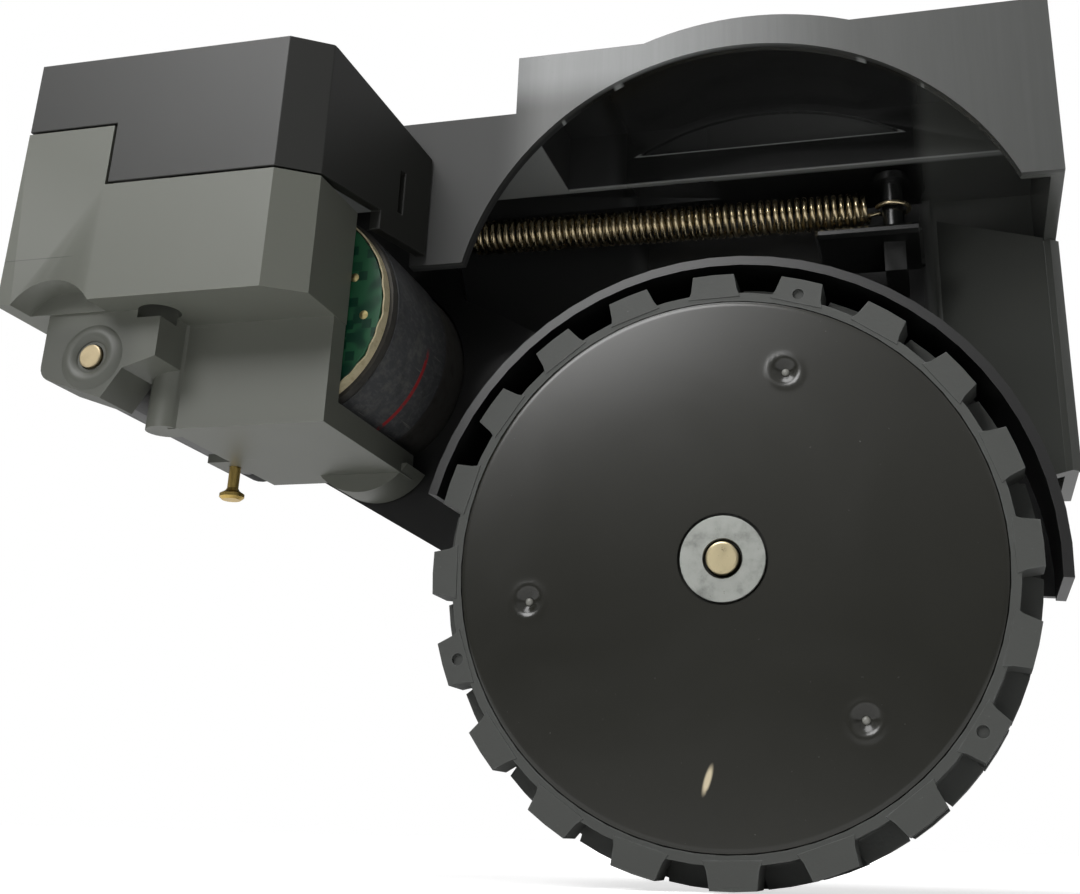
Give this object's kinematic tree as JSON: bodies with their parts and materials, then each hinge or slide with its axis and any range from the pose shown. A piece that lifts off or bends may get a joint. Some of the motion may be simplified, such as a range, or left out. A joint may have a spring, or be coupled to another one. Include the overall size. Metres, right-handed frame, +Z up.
{
  "type": "robot vacuum wheel module",
  "caption": "Sprung drive wheel unit for a robot floor cleaner: lugged tyre on a dished disc, pivoting gearbox arm with motor, arched wheel well, motor cover and pivot bracket.",
  "frame": {"origin": "chassis seat on top of the wheel well's high roof, above the wheel's right half", "axes": "+Z up out of the chassis seat, +X from the arm's pivot towards the wheel, +Y from the wheel's outer face into the robot along the axle"},
  "size_m": [0.1282, 0.0615, 0.1089],
  "materials": {
    "dark_plastic": "fine matt moulding grain",
    "cover_plastic": "fine matt moulding grain",
    "grey_plastic": "satin",
    "arm_plastic": "satin",
    "disc_plastic": "polished",
    "tyre_rubber": "matt",
    "steel": "plated",
    "spring_steel": "drawn wire",
    "can_steel": "dull plated",
    "brass": "turned",
    "bronze": "sintered",
    "circuit_board": "solder mask",
    "white_plastic": "satin",
    "black_plastic": "satin",
    "gear_plastic": "natural acetal"
  },
  "bodies": {
    "frame": {"wheel_well_housing": "dark_plastic", "motor_cover": "cover_plastic", "pivot_bracket": "grey_plastic", "drop_switch": "black_plastic", "tension_spring": "spring_steel", "module_connector": "black_plastic", "contact_1": "brass", "contact_2": "brass", "contact_3": "brass", "contact_4": "brass", "contact_5": "brass", "contact_6": "brass", "hinge_pin": "steel", "hinge_clip": "steel", "well_screw_left": "steel", "well_screw_right": "steel", "bracket_screw": "steel", "captive_screw": "brass"},
    "swing_arm": {"gearbox_case": "arm_plastic", "gearbox_cover": "arm_plastic", "case_screw_1": "steel", "case_screw_2": "steel", "case_screw_3": "steel", "case_screw_4": "steel", "front_axle_bush": "bronze", "rear_axle_bush": "bronze", "gear_pin_first": "steel", "gear_pin_second": "steel", "gear_pin_third": "steel", "motor_can": "can_steel", "motor_end_cap": "black_plastic", "encoder_board": "circuit_board", "board_connector": "white_plastic", "hall_sensor": "black_plastic", "motor_terminal_left": "brass", "motor_terminal_right": "brass"},
    "wheel": {"axle": "steel", "axle_washer": "steel", "wheel_disc": "disc_plastic", "tyre": "tyre_rubber", "output_gear": "gear_plastic"},
    "third_stage": {"third_gear": "gear_plastic"},
    "second_stage": {"second_gear": "gear_plastic"},
    "first_stage": {"first_gear": "gear_plastic"},
    "rotor": {"motor_shaft": "steel", "encoder_magnet": "black_plastic", "motor_pinion": "brass"},
    "plunger": {"drop_switch_plunger": "white_plastic"}
  },
  "joints": [
    {"name": "arm_swing", "type": "hinge", "parent": "frame", "child": "swing_arm", "pos_m": [-0.104, -0.015, -0.0482], "axis": [0, -1, 0], "range_deg": [0, 22], "stiffness_Nm_per_rad": 0.45, "springref_deg": -40.11, "deforming": ["tension_spring"]},
    {"name": "wheel_spin", "type": "hinge", "parent": "swing_arm", "child": "wheel", "pos_m": [-0.03, -0.009, -0.0705], "axis": [0, 1, 0], "continuous": true},
    {"name": "third_gear_spin", "type": "hinge", "parent": "swing_arm", "child": "third_stage", "pos_m": [-0.04381, 0.005, -0.06094], "axis": [0, 1, 0], "continuous": true},
    {"name": "second_gear_spin", "type": "hinge", "parent": "swing_arm", "child": "second_stage", "pos_m": [-0.05709, 0.007, -0.05165], "axis": [0, 1, 0], "continuous": true},
    {"name": "first_gear_spin", "type": "hinge", "parent": "swing_arm", "child": "first_stage", "pos_m": [-0.07125, 0.009, -0.04536], "axis": [0, 1, 0], "continuous": true},
    {"name": "rotor_spin", "type": "hinge", "parent": "swing_arm", "child": "rotor", "pos_m": [-0.0848, -0.017, -0.0394], "axis": [0, 1, 0], "continuous": true},
    {"name": "switch_press", "type": "slide", "parent": "frame", "child": "plunger", "axis": [0, 0, 1], "range_m": [0, 0.0008], "stiffness_N_per_m": 60, "springref_m": -0.001}
  ],
  "couplings": [
    {"joint": "third_gear_spin", "follows": "wheel_spin", "ratio": -2.5},
    {"joint": "second_gear_spin", "follows": "wheel_spin", "ratio": 7.1429},
    {"joint": "first_gear_spin", "follows": "wheel_spin", "ratio": -24.49},
    {"joint": "rotor_spin", "follows": "wheel_spin", "ratio": 104.96}
  ]
}
